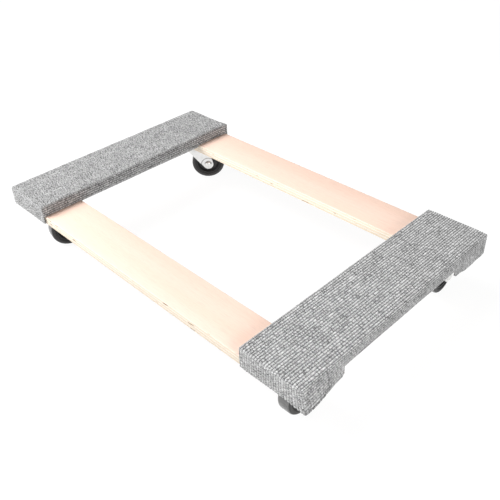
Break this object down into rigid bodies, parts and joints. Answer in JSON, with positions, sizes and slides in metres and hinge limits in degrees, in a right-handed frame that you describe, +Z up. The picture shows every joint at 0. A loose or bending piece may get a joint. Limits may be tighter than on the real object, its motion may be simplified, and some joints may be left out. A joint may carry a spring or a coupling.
{
  "type": "furniture dolly",
  "caption": "Flat wooden furniture dolly: plywood rails under cross boards wrapped in ribbed grey carpet, open in the middle, on swivel casters with black wheels.",
  "frame": {"origin": "On the floor, under the middle of the whole object's box with the casters at rest. The wheels stand out past the left side of the deck, so the deck's own middle is 4 mm from the origin, towards -Y.", "axes": "+X along the rails, towards the front cross board; +Y across, to the left side, where the wheels stand out past the deck; +Z up"},
  "size_m": [0.768, 0.4813, 0.1354],
  "materials": {
    "plywood": "sanded, unvarnished pale plywood",
    "carpet": "ribbed, heathered light and dark grey",
    "zinc_sheet": "bright zinc plate on pressed sheet",
    "zinc_bright": "bright zinc plate",
    "ball_steel": "plain oiled steel",
    "core_plastic": "moulded, satin",
    "tyre_rubber": "smooth, dull"
  },
  "bodies": {
    "root": {"rail_left": "plywood", "rail_right": "plywood", "cross_board_front": "plywood", "cross_board_rear": "plywood", "carpet_front": "carpet", "carpet_rear": "carpet", "front_left_mount_plate": "zinc_sheet", "front_left_kingpin": "zinc_bright", "front_left_plate_screw_1": "zinc_bright", "front_left_plate_screw_2": "zinc_bright", "front_left_plate_screw_3": "zinc_bright", "front_left_plate_screw_4": "zinc_bright", "front_right_mount_plate": "zinc_sheet", "front_right_kingpin": "zinc_bright", "front_right_plate_screw_1": "zinc_bright", "front_right_plate_screw_2": "zinc_bright", "front_right_plate_screw_3": "zinc_bright", "front_right_plate_screw_4": "zinc_bright", "rear_left_mount_plate": "zinc_sheet", "rear_left_kingpin": "zinc_bright", "rear_left_plate_screw_1": "zinc_bright", "rear_left_plate_screw_2": "zinc_bright", "rear_left_plate_screw_3": "zinc_bright", "rear_left_plate_screw_4": "zinc_bright", "rear_right_mount_plate": "zinc_sheet", "rear_right_kingpin": "zinc_bright", "rear_right_plate_screw_1": "zinc_bright", "rear_right_plate_screw_2": "zinc_bright", "rear_right_plate_screw_3": "zinc_bright", "rear_right_plate_screw_4": "zinc_bright"},
    "front_left_race": {"front_left_ball_ring": "ball_steel"},
    "front_left_swivel": {"front_left_fork": "zinc_sheet", "front_left_axle_sleeve": "ball_steel", "front_left_axle_bolt": "zinc_bright", "front_left_axle_nut": "zinc_bright"},
    "front_left_wheel": {"front_left_wheel_core": "core_plastic", "front_left_tyre": "tyre_rubber"},
    "front_right_race": {"front_right_ball_ring": "ball_steel"},
    "front_right_swivel": {"front_right_fork": "zinc_sheet", "front_right_axle_sleeve": "ball_steel", "front_right_axle_bolt": "zinc_bright", "front_right_axle_nut": "zinc_bright"},
    "front_right_wheel": {"front_right_wheel_core": "core_plastic", "front_right_tyre": "tyre_rubber"},
    "rear_left_race": {"rear_left_ball_ring": "ball_steel"},
    "rear_left_swivel": {"rear_left_fork": "zinc_sheet", "rear_left_axle_sleeve": "ball_steel", "rear_left_axle_bolt": "zinc_bright", "rear_left_axle_nut": "zinc_bright"},
    "rear_left_wheel": {"rear_left_wheel_core": "core_plastic", "rear_left_tyre": "tyre_rubber"},
    "rear_right_race": {"rear_right_ball_ring": "ball_steel"},
    "rear_right_swivel": {"rear_right_fork": "zinc_sheet", "rear_right_axle_sleeve": "ball_steel", "rear_right_axle_bolt": "zinc_bright", "rear_right_axle_nut": "zinc_bright"},
    "rear_right_wheel": {"rear_right_wheel_core": "core_plastic", "rear_right_tyre": "tyre_rubber"}
  },
  "joints": [
    {"name": "front_left_swivel_turn", "type": "hinge", "parent": "root", "child": "front_left_swivel", "pos_m": [0.3219, 0.17891, 0.0871], "axis": [0, 0, 1], "continuous": true},
    {"name": "front_left_wheel_roll", "type": "hinge", "parent": "front_left_swivel", "child": "front_left_wheel", "pos_m": [0.3203, 0.20176, 0.0376], "axis": [-0.9976, -0.0698, 0], "continuous": true},
    {"name": "front_left_race_turn", "type": "hinge", "parent": "root", "child": "front_left_race", "pos_m": [0.3219, 0.17891, 0.0904], "axis": [0, 0, 1], "continuous": true},
    {"name": "front_right_swivel_turn", "type": "hinge", "parent": "root", "child": "front_right_swivel", "pos_m": [0.3219, -0.19649, 0.0871], "axis": [0, 0, 1], "continuous": true},
    {"name": "front_right_wheel_roll", "type": "hinge", "parent": "front_right_swivel", "child": "front_right_wheel", "pos_m": [0.32182, -0.17359, 0.0376], "axis": [-1, -0.0035, 0], "continuous": true},
    {"name": "front_right_race_turn", "type": "hinge", "parent": "root", "child": "front_right_race", "pos_m": [0.3219, -0.19649, 0.0904], "axis": [0, 0, 1], "continuous": true},
    {"name": "rear_left_swivel_turn", "type": "hinge", "parent": "root", "child": "rear_left_swivel", "pos_m": [-0.3219, 0.18791, 0.0871], "axis": [0, 0, 1], "continuous": true},
    {"name": "rear_left_wheel_roll", "type": "hinge", "parent": "rear_left_swivel", "child": "rear_left_wheel", "pos_m": [-0.30679, 0.20512, 0.0376], "axis": [-0.7513, 0.66, 0], "continuous": true},
    {"name": "rear_left_race_turn", "type": "hinge", "parent": "root", "child": "rear_left_race", "pos_m": [-0.3219, 0.18791, 0.0904], "axis": [0, 0, 1], "continuous": true},
    {"name": "rear_right_swivel_turn", "type": "hinge", "parent": "root", "child": "rear_right_swivel", "pos_m": [-0.3219, -0.19649, 0.0871], "axis": [0, 0, 1], "continuous": true},
    {"name": "rear_right_wheel_roll", "type": "hinge", "parent": "rear_right_swivel", "child": "rear_right_wheel", "pos_m": [-0.31726, -0.17406, 0.0376], "axis": [-0.9792, 0.2028, 0], "continuous": true},
    {"name": "rear_right_race_turn", "type": "hinge", "parent": "root", "child": "rear_right_race", "pos_m": [-0.3219, -0.19649, 0.0904], "axis": [0, 0, 1], "continuous": true}
  ],
  "couplings": [
    {"joint": "front_left_race_turn", "follows": "front_left_swivel_turn", "ratio": 0.5},
    {"joint": "front_right_race_turn", "follows": "front_right_swivel_turn", "ratio": 0.5},
    {"joint": "rear_left_race_turn", "follows": "rear_left_swivel_turn", "ratio": 0.5},
    {"joint": "rear_right_race_turn", "follows": "rear_right_swivel_turn", "ratio": 0.5}
  ]
}
